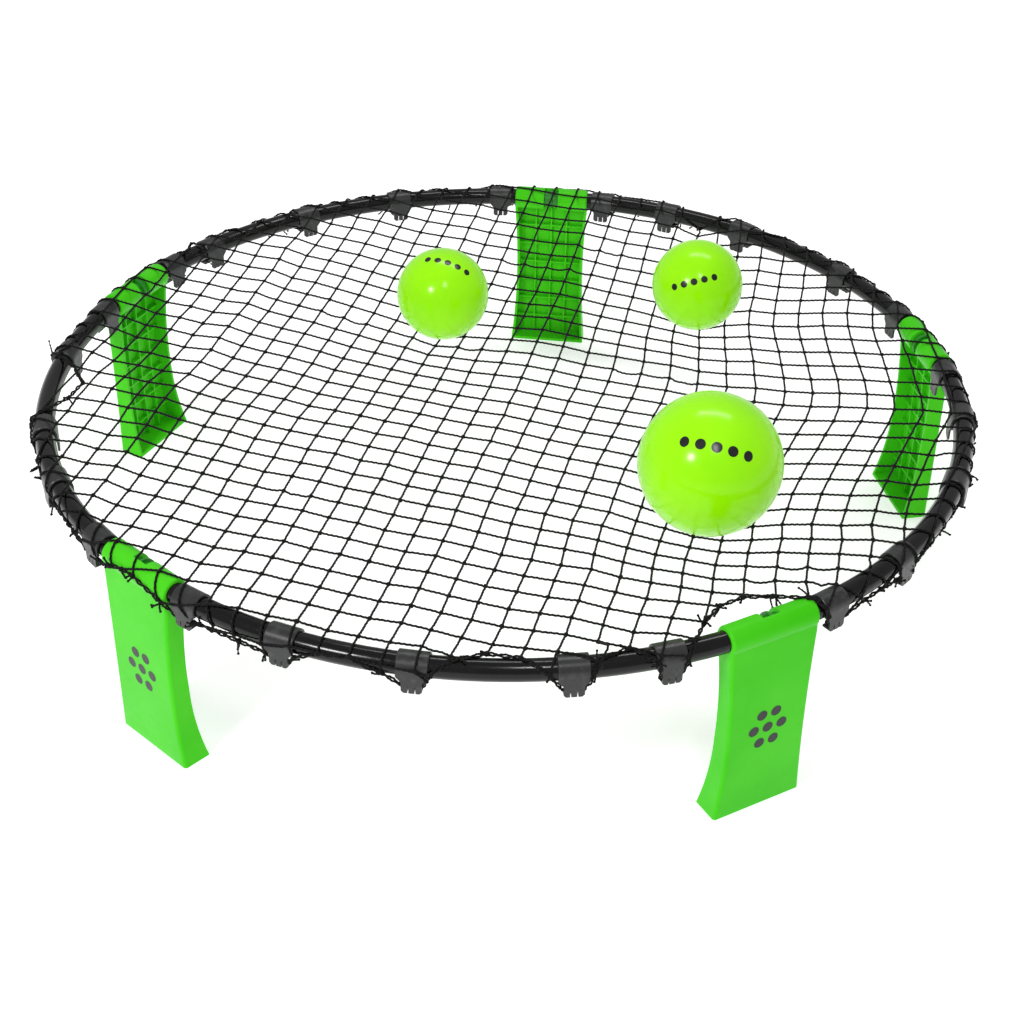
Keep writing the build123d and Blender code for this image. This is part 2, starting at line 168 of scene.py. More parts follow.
# ---- Camera, light and floor ----------------------------------------------------------------------
CAMERA_PLACE = (0.17535, -1.46143, 1.04285)
CAMERA_TURN = -6.505  # degrees, from +Y towards +X
CAMERA_DROP = 34.560  # degrees below level
CAMERA_ROLL = 0.98
CAMERA_LENS = 59.66  # mm
CAMERA_SENSOR = 36.0  # mm
CAMERA_NEAR = 0.05
LIGHT_TARGET = (0.1, -0.1, 0.15)
LIGHTS = (  # name, place, size, watts and shape
    ("key", (-0.94, -1.60, 1.49), (0.40, 0.40), 19, "DISK"),
    ("over_camera", (0.39, -1.37, 2.05), (0.22, 0.42), 7, "RECTANGLE"),
    ("top", (0.2, 0.9, 2.3), (1.6, 0.3), 14, "RECTANGLE"),
)
SKY_STRENGTH = 0.50
FLOOR_REACH = 40.0
FLOOR_DROP = 0.0003  # below the feet


# ---- Camera -------------------------------------------------------------------------------------
def make_camera():
    data = bpy.data.cameras.new("camera")
    camera = bpy.data.objects.new("camera", data)
    bpy.context.collection.objects.link(camera)
    data.lens = CAMERA_LENS
    data.sensor_width = CAMERA_SENSOR
    data.clip_start = CAMERA_NEAR
    turn, drop, roll = (math.radians(angle) for angle in (CAMERA_TURN, CAMERA_DROP, CAMERA_ROLL))
    look = Vector((math.sin(turn) * math.cos(drop), math.cos(turn) * math.cos(drop), -math.sin(drop)))
    level = look.cross(Vector((0, 0, 1))).normalized()
    upright = level.cross(look)
    right = level * math.cos(roll) + upright * math.sin(roll)
    up = right.cross(look)
    facing = Matrix((right, up, -look)).transposed().to_4x4()
    camera.matrix_world = Matrix.Translation(CAMERA_PLACE) @ facing
    bpy.context.scene.camera = camera


make_camera()


# ---- Materials ----------------------------------------------------------------------------------
class Shader:
    """A material's node tree, with short calls for the nodes used here."""

    def __init__(self, name, **sockets):
        self.material = bpy.data.materials.new(name)
        self.material.use_nodes = True
        self.tree = self.material.node_tree
        self.surface = self.tree.nodes["Principled BSDF"]
        for socket, value in sockets.items():
            self.surface.inputs[socket.replace("_", " ")].default_value = value
        self.place = self.tree.nodes.new("ShaderNodeTexCoord").outputs["Object"]

    def feed(self, socket, value):
        """Links another node's output to a socket, or sets the socket to a constant."""
        if isinstance(value, bpy.types.NodeSocket):
            self.tree.links.new(value, socket)
        else:
            socket.default_value = value

    def node(self, kind, inputs, **settings):
        made = self.tree.nodes.new("ShaderNode" + kind)
        for setting, value in settings.items():
            setattr(made, setting, value)
        for socket, value in inputs.items():
            self.feed(made.inputs[socket], value)
        return made

    def noise(self, scale, detail=3.0, roughness=0.5):
        inputs = {"Vector": self.place, "Scale": scale, "Detail": detail, "Roughness": roughness}
        return self.node("TexNoise", inputs).outputs["Fac"]

    def span(self, value, low, high, to_low=0.0, to_high=1.0):
        inputs = {"Value": value, "From Min": low, "From Max": high, "To Min": to_low, "To Max": to_high}
        return self.node("MapRange", inputs).outputs["Result"]

    def add(self, first, second):
        return self.node("Math", {0: first, 1: second}, operation="ADD").outputs["Value"]

    def mix(self, factor, first, second):
        """A mix of two colours. The node has sockets of one name for each type, told by identifier."""
        made = self.node("Mix", {}, data_type="RGBA")
        sockets = {socket.identifier: socket for socket in (*made.inputs, *made.outputs)}
        self.feed(sockets["Factor_Float"], factor)
        self.feed(sockets["A_Color"], first)
        self.feed(sockets["B_Color"], second)
        return sockets["Result_Color"]

    def set(self, socket, value):
        self.tree.links.new(value, self.surface.inputs[socket])

    def bump(self, height, strength, distance):
        inputs = {"Height": height, "Strength": strength, "Distance": distance}
        self.set("Normal", self.node("Bump", inputs).outputs["Normal"])


def colour(red, green, blue):
    return (red, green, blue, 1.0)


def leg_plastic():
    """Bright green moulded plastic: satin, a little cloudy, with faint ripples from the mould."""
    s = Shader(
        "leg_plastic",
        IOR=1.45,
        Specular_IOR_Level=0.22,
        Specular_Tint=colour(0.4, 1.0, 0.15),
        Subsurface_Weight=0.10,
        Subsurface_Radius=(0.15, 1.0, 0.05),
        Subsurface_Scale=0.003,
    )
    cloud = s.span(s.noise(9.0), 0.35, 0.65)
    base = s.mix(cloud, colour(0.050, 0.55, 0.008), colour(0.070, 0.61, 0.016))
    flow = s.span(s.noise(45.0, 5.0), 0.5, 0.8, 0.0, 0.25)
    s.set("Base Color", s.mix(flow, base, colour(0.095, 0.64, 0.03)))
    s.set("Roughness", s.span(s.noise(160.0), 0.3, 0.7, 0.30, 0.42))
    s.bump(s.noise(28.0, 2.0), 0.10, 0.002)
    return s.material


def joiner_plastic():
    """Darker green plastic, satin."""
    s = Shader("joiner_plastic", IOR=1.47)
    cloud = s.span(s.noise(40.0), 0.35, 0.65)
    s.set("Base Color", s.mix(cloud, colour(0.006, 0.20, 0.004), colour(0.012, 0.26, 0.008)))
    s.set("Roughness", s.span(s.noise(240.0), 0.3, 0.7, 0.35, 0.5))
    return s.material


def tube_coating():
    """Gloss black paint on steel, with a slight orange peel and fine rubbed marks."""
    s = Shader("tube_coating", IOR=1.5, Specular_IOR_Level=0.30)
    dust = s.span(s.noise(35.0, 6.0, 0.7), 0.5, 0.8, 0.0, 0.5)
    s.set("Base Color", s.mix(dust, colour(0.002, 0.002, 0.0022), colour(0.009, 0.009, 0.0095)))
    s.set("Roughness", s.span(s.noise(420.0, 6.0, 0.7), 0.35, 0.8, 0.11, 0.28))
    s.bump(s.noise(260.0, 2.0), 0.05, 0.0003)
    return s.material


def hook_plastic():
    """Satin dark grey plastic, grained, with paler rubbed patches."""
    s = Shader("hook_plastic", IOR=1.46, Specular_IOR_Level=0.5)
    wear = s.span(s.noise(130.0, 6.0, 0.65), 0.5, 0.72)
    s.set("Base Color", s.mix(wear, colour(0.018, 0.018, 0.019), colour(0.045, 0.045, 0.048)))
    s.set("Roughness", s.span(s.noise(300.0, 4.0), 0.3, 0.7, 0.27, 0.42))
    s.bump(s.noise(1600.0, 3.0), 0.2, 0.0002)
    return s.material


def net_cord():
    """Black polyester cord, matt with fine fibres."""
    s = Shader("net_cord", IOR=1.4, Specular_IOR_Level=0.2, Sheen_Weight=0.08, Sheen_Roughness=0.4)
    fibre = s.span(s.noise(1500.0, 4.0, 0.7), 0.35, 0.7)
    s.set("Base Color", s.mix(fibre, colour(0.0015, 0.0012, 0.0012), colour(0.012, 0.011, 0.011)))
    s.set("Roughness", s.span(s.noise(900.0), 0.3, 0.7, 0.6, 0.85))
    s.bump(s.noise(2600.0, 2.0), 0.5, 0.0002)
    return s.material


def ball_rubber():
    """Glossy lime inflated rubber with a faint leathery grain, and a faint painted glow of its own."""
    s = Shader(
        "ball_rubber",
        IOR=1.5,
        Specular_IOR_Level=0.1,
        Specular_Tint=colour(0.8, 1.0, 0.1),
        Coat_Weight=0.45,
        Coat_Roughness=0.17,
        Coat_IOR=1.5,
        Subsurface_Weight=0.1,
        Subsurface_Radius=(0.4, 1.0, 0.02),
        Subsurface_Scale=0.003,
        # painted glow: the rubber gives off a little lime light of its own, though it is no lamp
        Emission_Color=colour(0.30, 1.0, 0.0),
        Emission_Strength=0.03,
    )
    cloud = s.span(s.noise(12.0), 0.35, 0.65)
    s.set("Base Color", s.mix(cloud, colour(0.29, 0.84, 0.0005), colour(0.34, 0.90, 0.001)))
    s.set("Roughness", s.span(s.noise(90.0, 4.0), 0.3, 0.7, 0.22, 0.34))
    grain = s.add(s.noise(700.0, 2.0), s.noise(160.0, 2.0))
    s.bump(grain, 0.08, 0.0003)
    return s.material


def valve_rubber():
    """Green rubber, darker and duller than the ball's."""
    s = Shader("valve_rubber", IOR=1.48)
    cloud = s.span(s.noise(300.0), 0.35, 0.65)
    s.set("Base Color", s.mix(cloud, colour(0.17, 0.5, 0.004), colour(0.21, 0.56, 0.006)))
    s.set("Roughness", s.span(s.noise(500.0), 0.3, 0.7, 0.4, 0.6))
    return s.material


def mark_ink():
    """Black printed ink, slightly uneven, under the gloss of what it is printed on."""
    s = Shader(
        "mark_ink",
        IOR=1.45,
        Specular_IOR_Level=0.2,
        Coat_Weight=0.45,
        Coat_Roughness=0.17,
        Coat_IOR=1.5,
    )
    patch = s.span(s.noise(260.0, 4.0), 0.45, 0.75)
    s.set("Base Color", s.mix(patch, colour(0.004, 0.004, 0.005), colour(0.012, 0.014, 0.012)))
    s.set("Roughness", s.span(s.noise(400.0), 0.3, 0.7, 0.35, 0.55))
    return s.material


def floor_paper():
    """White paper that glows a little, as on a light table."""
    s = Shader(
        "floor_paper",
        Roughness=0.9,
        Specular_IOR_Level=0.1,
        Emission_Color=colour(1.0, 1.0, 1.0),
        Emission_Strength=0.42,
    )
    s.set("Base Color", s.mix(s.noise(3.0), colour(0.93, 0.93, 0.93), colour(0.96, 0.96, 0.96)))
    return s.material


MATERIALS = {
    make.__name__: make()
    for make in (
        leg_plastic, joiner_plastic, tube_coating, hook_plastic, net_cord, ball_rubber, valve_rubber,
        mark_ink, floor_paper,
    )
}
MATERIAL_BY_START = {
    "leg_": "leg_plastic",
    "tube_joiner": "joiner_plastic",
    "rim_tube": "tube_coating",
    "net_hook": "hook_plastic",
    "net_middle": "net_cord",
    "net_side": "net_cord",
}


def material_of(node_name):
    """The name of a CAD node's material, from how the node's own name starts or ends."""
    for start, material in MATERIAL_BY_START.items():
        if node_name.startswith(start):
            return material
    return "valve_rubber" if node_name.endswith("_valve") else "ball_rubber"


def paint_frame():
    for name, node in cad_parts.items():
        node.data.materials.clear()
        node.data.materials.append(MATERIALS[material_of(name)])


paint_frame()


# ---- Meshes -------------------------------------------------------------------------------------
def make_mesh(name, points, faces, material, body):
    """A smooth piece from points and faces, riding on a CAD body."""
    data = bpy.data.meshes.new(name)
    data.from_pydata(np.asarray(points).tolist(), [], [list(map(int, face)) for face in faces])
    data.polygons.foreach_set("use_smooth", np.full(len(data.polygons), True))
    data.materials.append(MATERIALS[material])
    data.update()
    piece = bpy.data.objects.new(name, data)
    bpy.context.collection.objects.link(piece)
    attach(piece, body)
    return piece


def numbered_rings(rings, sides, first=0):
    """Point numbers of rings of points, one ring to a row, and the same moved on by one side."""
    base = first + np.arange(rings * sides).reshape(rings, sides)
    return base, np.roll(base, -1, axis=1)


def mesh_points(name):
    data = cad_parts[name].data
    points = np.zeros(3 * len(data.vertices))
    data.vertices.foreach_get("co", points)
    return points.reshape(-1, 3)


def turn_of(name):
    """The direction of a CAD node from the ring's centre, in degrees."""
    middle = mesh_points(name).mean(axis=0)
    return math.degrees(math.atan2(middle[1], middle[0])) % 360


def apart(first, second):
    """The signed difference of two directions in degrees, from -180 to 180."""
    return (first - second + 180) % 360 - 180


LEG_TURNS = np.array([turn_of(f"leg_{leg}") for leg in LEGS])
HOOK_TURNS = np.sort(
    [turn_of(f"net_hook_{tube}_{k + 1}") for tube in TUBES for k in range(HOOKS_PER_TUBE)]
)


def ball_of(name):
    """The centre and the radius of a ball."""
    low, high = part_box(name)
    return np.array((low + high) / 2), (high - low).z / 2


BALL_SPHERES = {name: ball_of(name) for name in BALLS}


# ---- The ring's axis ----------------------------------------------------------------------------
def arc_between_legs():
    """The radius of a tube's long arc, and how far its centre is from the ring's centre."""
    end_x = SOCKET_RADIUS - BEND_RADIUS * (1 - math.cos(BEND_ANGLE))
    end_y = TUBE_STRAIGHT + BEND_RADIUS * math.sin(BEND_ANGLE)
    half_tan = math.tan(LEG_STEP / 2)
    radius = (end_x * half_tan - end_y) / (math.cos(BEND_ANGLE) * half_tan - math.sin(BEND_ANGLE))
    return radius, (end_x - radius * math.cos(BEND_ANGLE)) / math.cos(LEG_STEP / 2)


LEG_STEP = 2 * math.pi / len(LEGS)
ARC_RADIUS, ARC_OFFSET = arc_between_legs()


def nearest(turns, others):
    """How far each direction is from the nearest of the others, in degrees."""
    return np.min(np.abs(apart(np.asarray(turns)[..., None], others)), axis=-1)


def axis_reach(turn):
    """How far the tube's axis is from the ring's centre, in directions given in degrees."""
    from_leg = np.radians(nearest(turn, LEG_TURNS))
    from_middle = LEG_STEP / 2 - from_leg
    along = ARC_OFFSET * np.cos(from_middle)
    arc = along + np.sqrt(ARC_RADIUS**2 - ARC_OFFSET**2 + along**2)
    straight = SOCKET_RADIUS / np.cos(from_leg)
    return np.where(SOCKET_RADIUS * np.tan(from_leg) < TUBE_STRAIGHT, straight, arc)


# ---- The net, laid flat -------------------------------------------------------------------------
def direction(turn):
    return np.array([math.cos(math.radians(turn)), math.sin(math.radians(turn))])


def turn_to(place):
    return math.degrees(math.atan2(place[1], place[0])) % 360


def edge_reach(turn):
    """How far the flat net's edge is from its centre, with a bite over each tucked span."""
    reach = NET_RADIUS
    for start, end, bite in TUCKED_SPANS:
        if start < turn % 360 < end:
            reach -= bite * math.sin(math.pi * (turn % 360 - start) / (end - start))
    return reach


def line_end(place, way):
    """Where a line that goes on from a knot meets the net's edge."""
    low, high = 0.0, LINE_SEARCH * CELL
    for _ in range(BISECTIONS):
        middle = (low + high) / 2
        there = place + way * middle
        if math.hypot(*there) < edge_reach(turn_to(there)):
            low = middle
        else:
            high = middle
    return place + way * low


def folded(place):
    """How far the net is dragged along its rows, to the fold that runs into the right leg."""
    rows = direction(ROW_TURN)
    across = (direction(ROW_TURN + 90) @ place - FOLD_LINE) / FOLD_SPREAD
    reach = min(max((rows @ place - FOLD_START) / FOLD_RUN, 0.0), 1.0)
    return FOLD_SHIFT * math.exp(-(across**2)) * reach * reach * (3 - 2 * reach)


def lay_knots(along, steps):
    """The knots inside the net's edge, numbered by row and column, and their places."""
    random = np.random.default_rng(LATTICE_SEED)
    pulled = dict(zip(steps, STAGGER * random.standard_normal(len(steps))))
    knots, points = {}, []
    for i in steps:
        for j in steps:
            by_rows = (i + LATTICE_SHIFT[0]) * along[0]
            by_columns = (j + LATTICE_SHIFT[1] + pulled[i]) * along[1]
            place = (by_rows + by_columns) * CELL
            place = place + folded(place) * along[0]
            if math.hypot(*place) < edge_reach(turn_to(place)) - EDGE_MARGIN * CELL:
                knots[i, j] = len(points)
                points.append(place)
    return knots, points


def lay_lines(along, steps, knots, points):
    """The lines as (kind, point numbers), rows first, and the points added on the edge for them."""
    lines, edge = [], []
    for kind in (0, 1):
        for k in steps:
            cells = [(i, k) if kind == 0 else (k, i) for i in steps]
            chain = [knots[cell] for cell in cells if cell in knots]
            if len(chain) < 2:
                continue
            for end, way in ((0, -along[kind]), (-1, along[kind])):
                edge.append(len(points))
                points.append(line_end(points[chain[end]], way))
            lines.append((kind, [edge[-2], *chain, edge[-1]]))
    return lines, edge


def cell_diagonals(knots):
    """The pairs of knots that face each other across a cell, first one way and then the other."""
    pairs = [(knots[i, j], knots[i + 1, j + 1]) for i, j in knots if (i + 1, j + 1) in knots]
    pairs += [
        (knots[i + 1, j], knots[i, j + 1])
        for i, j in knots
        if (i + 1, j) in knots and (i, j + 1) in knots
    ]
    return pairs


def flat_net():
    """The net laid flat: its points, its lines, the numbers on its edge, and its cells' diagonals."""
    along = (direction(ROW_TURN), direction(COLUMN_TURN))
    reach = int(NET_RADIUS / CELL) + SPARE_LINES
    steps = range(-reach, reach + 1)
    knots, points = lay_knots(along, steps)
    lines, edge = lay_lines(along, steps, knots, points)
    return np.array(points), lines, np.array(edge), np.array(cell_diagonals(knots))


def draped(flat):
    """The flat net laid over the ring: sagging inside, and wrapped over the tube outside."""
    wrap = TUBE_RADIUS + DRAPE_LIFT
    reach = np.hypot(flat[:, 0], flat[:, 1])
    turn = np.arctan2(flat[:, 1], flat[:, 0])
    degrees = np.degrees(turn)
    axis = axis_reach(degrees)
    crest = axis - CREST_IN
    inside = reach < crest
    away = np.radians(nearest(degrees, HOOK_TURNS)) * axis
    away = np.clip((away - HOOK_NEAR) / HOOK_FADE, 0, 1)
    round_tube = math.radians(WRAP_START) - (reach - crest) / wrap
    round_tube = np.maximum(round_tube, np.radians(WRAP_END + WRAP_LOOSER * away))
    sag = FIRST_SAG * (1 - np.clip(reach / crest, 0, 1) ** 2)
    height = np.where(inside, wrap - sag, wrap * np.sin(round_tube))
    laid = np.where(inside, reach, axis + wrap * np.cos(round_tube))
    return np.c_[laid * np.cos(turn), laid * np.sin(turn), AXIS_HEIGHT + height]


# ---- The net, settled ---------------------------------------------------------------------------
class Net:
    """Particles and links of the net, with so many links to a cell's side."""

    PIN_SPREAD = (-0.008, 0.0, 0.008)  # along the edge, at each hook
    CLEAR_OF_HOOK = 0.0125  # along the edge, where the tab leaves no room for a cord's end
    END_SQUEEZE = 0.3  # how much of their spacing the ends keep that are moved off a hook
    EDGE_KIND = 2  # of a chain, after 0 for rows and 1 for columns
    EDGE_LINKS = 4  # to a cell's side

    def __init__(self, links_per_side):
        self.links_per_side = links_per_side
        flat, lines, self.edge, self.crossed = flat_net()
        self.knot_count = len(flat)
        self.links = [[] for _ in range(6)]  # two groups for each kind of chain
        self.chains = []
        self.places = list(flat)
        turns = self.clear_turns(flat)
        for k in self.edge:
            self.places[k] = edge_reach(turns[k]) * direction(turns[k])
        self.join_lines(flat, lines)
        stations = [(turns[k] % 360, int(k)) for k in self.edge]
        pinned, pin_places = self.add_pins(stations)
        self.join_edge(sorted(stations))
        laid = np.array(self.places)
        turns = np.degrees(np.arctan2(laid[:, 1], laid[:, 0]))
        self.over_tube = np.hypot(laid[:, 0], laid[:, 1]) > axis_reach(turns) + OUTER_SIDE
        across = laid[self.crossed[:, 0]] - laid[self.crossed[:, 1]]
        self.crossed_rest = np.linalg.norm(across, axis=1) * TIGHTNESS
        self.points = draped(laid)
        self.points[pinned] = pin_places
        self.free = np.ones(len(self.points), bool)
        self.free[pinned] = False
        self.pack_links()

    def clear_turns(self, flat):
        """The points' directions, where the cords' ends on the edge keep clear of the hooks' tabs."""
        turns = np.degrees(np.arctan2(flat[:, 1], flat[:, 0])) % 360
        limit = math.degrees(self.CLEAR_OF_HOOK / NET_RADIUS)
        for hook in HOOK_TURNS:
            off = apart(turns[self.edge], hook)
            near = np.abs(off) < limit
            side = np.where(off[near] >= 0, limit, -limit)
            turns[self.edge[near]] = hook + side + self.END_SQUEEZE * off[near]
        return turns

    def join_lines(self, flat, lines):
        """Links along the rows and columns, each side of a cell a little off its length."""
        random = np.random.default_rng(CELL_SEED)
        for kind, ids in lines:
            chain = [ids[0]]
            for a, b in zip(ids, ids[1:]):
                side = float(np.linalg.norm(flat[a] - flat[b]))
                side *= TIGHTNESS * (1 + UNEVENNESS * random.standard_normal())
                self.join(chain, a, b, side, self.links_per_side, 2 * kind)
            self.chains.append((kind, chain))

    def add_pins(self, stations):
        """Adds the points that the hooks hold to the stations. Returns their numbers and places."""
        pinned, pin_places = [], []
        for hook in HOOK_TURNS:
            reach = float(axis_reach(hook)) + POCKET_OUT
            for spread in self.PIN_SPREAD:
                turn = hook + math.degrees(spread / NET_RADIUS)
                pinned.append(len(self.places))
                stations.append((turn % 360, len(self.places)))
                self.places.append(NET_RADIUS * direction(turn))
                there = reach * direction(hook + math.degrees(spread / reach))
                pin_places.append((*there, AXIS_HEIGHT - POCKET_DOWN))
        return pinned, pin_places

    def join_edge(self, stations):
        """Links round the edge. They are even in number, so that no two neighbours share a group."""
        chain = [stations[0][1]]
        for k, (_, a) in enumerate(stations):
            _, b = stations[(k + 1) % len(stations)]
            side = EDGE_TIGHTNESS * float(np.linalg.norm(self.places[b] - self.places[a]))
            count = max(1, round(side / (CELL / self.EDGE_LINKS)))
            last = k == len(stations) - 1
            if last and (len(chain) - 1 + count) % 2:
                count += 1
            self.join(chain, a, b, side, count, 2 * self.EDGE_KIND)
        self.chains.append((self.EDGE_KIND, chain))

    def join(self, chain, a, b, length, count, group):
        """Adds links from a to b. Neighbours on a chain go into different groups."""
        start, end = self.places[a], self.places[b]
        previous = a
        for k in range(1, count + 1):
            following = b
            if k < count:
                following = len(self.places)
                self.places.append(start + (end - start) * k / count)
            self.links[group + (len(chain) - 1) % 2].append((previous, following, length / count))
            chain.append(following)
            previous = following

    def pack_links(self):
        """Turns each group of links into arrays, with how much each end gives way."""
        packed = []
        for group in self.links:
            a, b, rest = (np.array(column) for column in zip(*group))
            share_a, share_b = self.free[a].astype(float), self.free[b].astype(float)
            total = np.maximum(share_a + share_b, 1e-9)
            packed.append((a, b, rest, (share_a / total)[:, None], (share_b / total)[:, None]))
        self.links = packed

    def hold_lengths(self):
        points = self.points
        for a, b, rest, share_a, share_b in self.links:
            gap = points[b] - points[a]
            length = np.sqrt(np.einsum("ij,ij->i", gap, gap))
            gap *= ((length - rest) / np.maximum(length, 1e-9))[:, None]
            points[a] += share_a * gap
            points[b] -= share_b * gap

    def hold_cells(self):
        """The knots grip, so that a cell resists leaning over."""
        a, b = self.crossed[:, 0], self.crossed[:, 1]
        gap = self.points[b] - self.points[a]
        length = np.sqrt(np.einsum("ij,ij->i", gap, gap))
        gap *= (KNOT_GRIP * (length - self.crossed_rest) / length)[:, None]
        np.add.at(self.points, a, gap)
        np.subtract.at(self.points, b, gap)

    def keep_off_ring(self, near):
        """Moves what lies inside a tube, a hood or a hook's band out to its surface."""
        some = self.points[near]
        reach = np.hypot(some[:, 0], some[:, 1])
        degrees = np.degrees(np.arctan2(some[:, 1], some[:, 0]))
        axis = axis_reach(degrees)
        from_leg = np.radians(nearest(degrees, LEG_TURNS)) * axis
        from_hook = np.radians(nearest(degrees, HOOK_TURNS)) * axis
        solid = np.full(len(some), TUBE_RADIUS)
        solid[from_hook < BAND_HALF_WIDTH + CORD_RADIUS] = BAND_RADIUS
        solid[from_leg < HOOD_HALF_WIDTH + CORD_RADIUS] = HOOD_RADIUS
        solid += CORD_RADIUS
        out, up = reach - axis, some[:, 2] - AXIS_HEIGHT
        slipped = self.over_tube[near] & (up < 0) & (out < OUTER_SIDE)
        out = np.where(slipped, OUTER_SIDE, out)
        far = np.hypot(out, up)
        push = np.where(self.free[near], np.maximum(solid / np.maximum(far, 1e-6), 1.0), 1.0)
        scale = (axis + out * push) / reach
        self.points[near] = np.c_[some[:, :2] * scale[:, None], AXIS_HEIGHT + up * push]

    def keep_off_balls(self):
        """Moves what lies inside a ball out to its surface."""
        for centre, radius in BALL_SPHERES.values():
            gap = self.points - centre
            far = np.sqrt(np.einsum("ij,ij->i", gap, gap))
            inside = (far < radius + CORD_RADIUS) & self.free
            grow = (radius + CORD_RADIUS) / far[inside]
            self.points[inside] = centre + gap[inside] * grow[:, None]

    def settle(self, rounds):
        """Lets the net fall, with its lengths and cells held and the frame in its way."""
        speed = np.zeros_like(self.points)
        hanging = self.free & (np.hypot(self.points[:, 0], self.points[:, 1]) < HANG_REACH)
        for k in range(rounds):
            if k % TOUCH_EVERY == 0:
                near = np.flatnonzero(np.hypot(self.points[:, 0], self.points[:, 1]) > TOUCH_REACH)
            before = self.points.copy()
            self.points[self.free] += DAMPING * speed[self.free]
            self.points[hanging, 2] -= FALL
            self.hold_cells()
            for _ in range(LENGTH_PASSES):
                self.hold_lengths()
            self.keep_off_ring(near)
            self.keep_off_balls()
            speed = self.points - before


def settled_net():
    """A coarse net settles first, and the fine one starts from where that came to rest."""
    coarse, fine = Net(COARSE_LINKS), Net(FINE_LINKS)
    coarse.settle(COARSE_ROUNDS)
    for (_, few), (_, many) in zip(coarse.chains, fine.chains):
        share = np.linspace(0, len(few) - 1, len(many))
        for axis in range(3):
            fine.points[many, axis] = np.interp(share, range(len(few)), coarse.points[few, axis])
    fine.settle(FINE_ROUNDS)
    return fine


# ---- Cords --------------------------------------------------------------------------------------
def smooth_line(points, spacing, closed=False):
    """Points along a smooth curve through the given ones, about the spacing apart."""
    points = np.asarray(points)
    if closed:
        padded = np.vstack([points[-2], points, points[1]])
    else:
        padded = np.vstack([2 * points[0] - points[1], points, 2 * points[-1] - points[-2]])
    before, start, end, after = padded[:-3], padded[1:-2], padded[2:-1], padded[3:]
    length = np.linalg.norm(end - start, axis=1)
    counts = np.maximum(1, np.round(length / spacing)).astype(int)
    which = np.repeat(np.arange(len(counts)), counts)
    t = np.concatenate([np.arange(n) / n for n in counts])[:, None]
    a, b, c, d = before[which], start[which], end[which], after[which]
    square = 2 * a - 5 * b + 4 * c - d
    cube = 3 * b - a - 3 * c + d
    curve = 0.5 * (2 * b + (c - a) * t + square * t**2 + cube * t**3)
    return np.vstack([curve, points[-1]])


def tangents(line, closed):
    tangent = np.gradient(line, axis=0)
    if closed:
        tangent[0] = tangent[-1] = line[1] - line[-2]
    return tangent / np.linalg.norm(tangent, axis=1)[:, None]


def lengths_along(line):
    """How far each point of a line is from its start, along it."""
    step = np.linalg.norm(np.diff(line, axis=0), axis=1)
    return np.concatenate([[0.0], np.cumsum(step)])


def carried_along(tangent):
    """A direction across a line at each of its points, turning no more than it has to."""
    across = np.cross(tangent[0], Cords.SKEW)
    across /= np.linalg.norm(across)
    sideways = np.zeros_like(tangent)
    for k, way in enumerate(tangent):
        across = across - way * (across @ way)
        across = across / math.sqrt(across @ across)
        sideways[k] = across
    return sideways


class Cords:
    """Collects twisted cords into one mesh."""

    SIDES = 6
    LOBE = 0.16  # how far the sides stand out and in by turns, of the radius
    SKEW = (0.13, 0.21, 0.97)  # a direction that no cord starts along

    def __init__(self, radius, pitch=CORD_PITCH):
        self.radius, self.pitch = radius, pitch
        self.points, self.faces = [], []
        self.total = 0

    def add(self, line, closed=False):
        tangent = tangents(line, closed)
        sideways = carried_along(tangent)
        upright = np.cross(tangent, sideways)
        turn = (2 * math.pi * np.arange(self.SIDES) / self.SIDES)[None, :]
        turn = turn + (2 * math.pi * lengths_along(line) / self.pitch)[:, None]
        size = self.radius * (1 + self.LOBE * np.where(np.arange(self.SIDES) % 2, -1.0, 1.0))
        ring = line[:, None] + (size * np.cos(turn))[..., None] * sideways[:, None]
        ring = ring + (size * np.sin(turn))[..., None] * upright[:, None]
        base, ahead = numbered_rings(len(line), self.SIDES, self.total)
        quads = np.stack([base[:-1], ahead[:-1], ahead[1:], base[1:]], axis=-1).reshape(-1, 4)
        self.points.append(ring.reshape(-1, 3))
        self.faces.extend(quads.tolist())
        self.faces.append(base[0][::-1].tolist())
        self.faces.append(base[-1].tolist())
        self.total += base.size


class Knots:
    """Collects knots into one mesh. A knot is a lump with two turns of cord round it."""

    SEGMENTS, RINGS = 10, 6
    GROOVE = 0.18  # how deep the turns of cord show, of the radius
    FLATNESS = 0.8

    def __init__(self, seed):
        self.random = np.random.default_rng(seed)
        self.points, self.faces = [], []
        self.total = 0

    def lump(self):
        """The points of a knot of radius 1, ring by ring, and last its two poles."""
        lift = np.linspace(-math.pi / 2, math.pi / 2, self.RINGS + 1)[1:-1]
        turn = 2 * math.pi * np.arange(self.SEGMENTS) / self.SEGMENTS
        phase = self.random.uniform(0, 2 * math.pi)
        grooves = 1 + self.GROOVE * np.cos(2 * turn[None, :] + 3 * lift[:, None] + phase)
        wide = np.cos(lift)[:, None]
        x, y = wide * np.cos(turn) * grooves, wide * np.sin(turn) * grooves
        z = np.sin(lift)[:, None] * grooves * self.FLATNESS
        around = np.stack([x, y, z], axis=-1).reshape(-1, 3)
        return np.vstack([around, (0, 0, -self.FLATNESS), (0, 0, self.FLATNESS)])

    def add(self, centre, radius):
        lump = self.lump()
        axis = self.random.standard_normal(3)
        spin = np.array(Matrix.Rotation(self.random.uniform(0, 2 * math.pi), 3, Vector(axis)))
        self.points.append(centre + radius * lump @ spin.T)
        base, ahead = numbered_rings(self.RINGS - 1, self.SEGMENTS, self.total)
        quads = np.stack([base[:-1], ahead[:-1], ahead[1:], base[1:]], axis=-1).reshape(-1, 4)
        self.faces += quads.tolist()
        low, high = self.total + len(lump) - 2, self.total + len(lump) - 1
        self.faces += [(low, int(b), int(a)) for a, b in zip(base[0], ahead[0])]
        self.faces += [(high, int(a), int(b)) for a, b in zip(base[-1], ahead[-1])]
        self.total += len(lump)


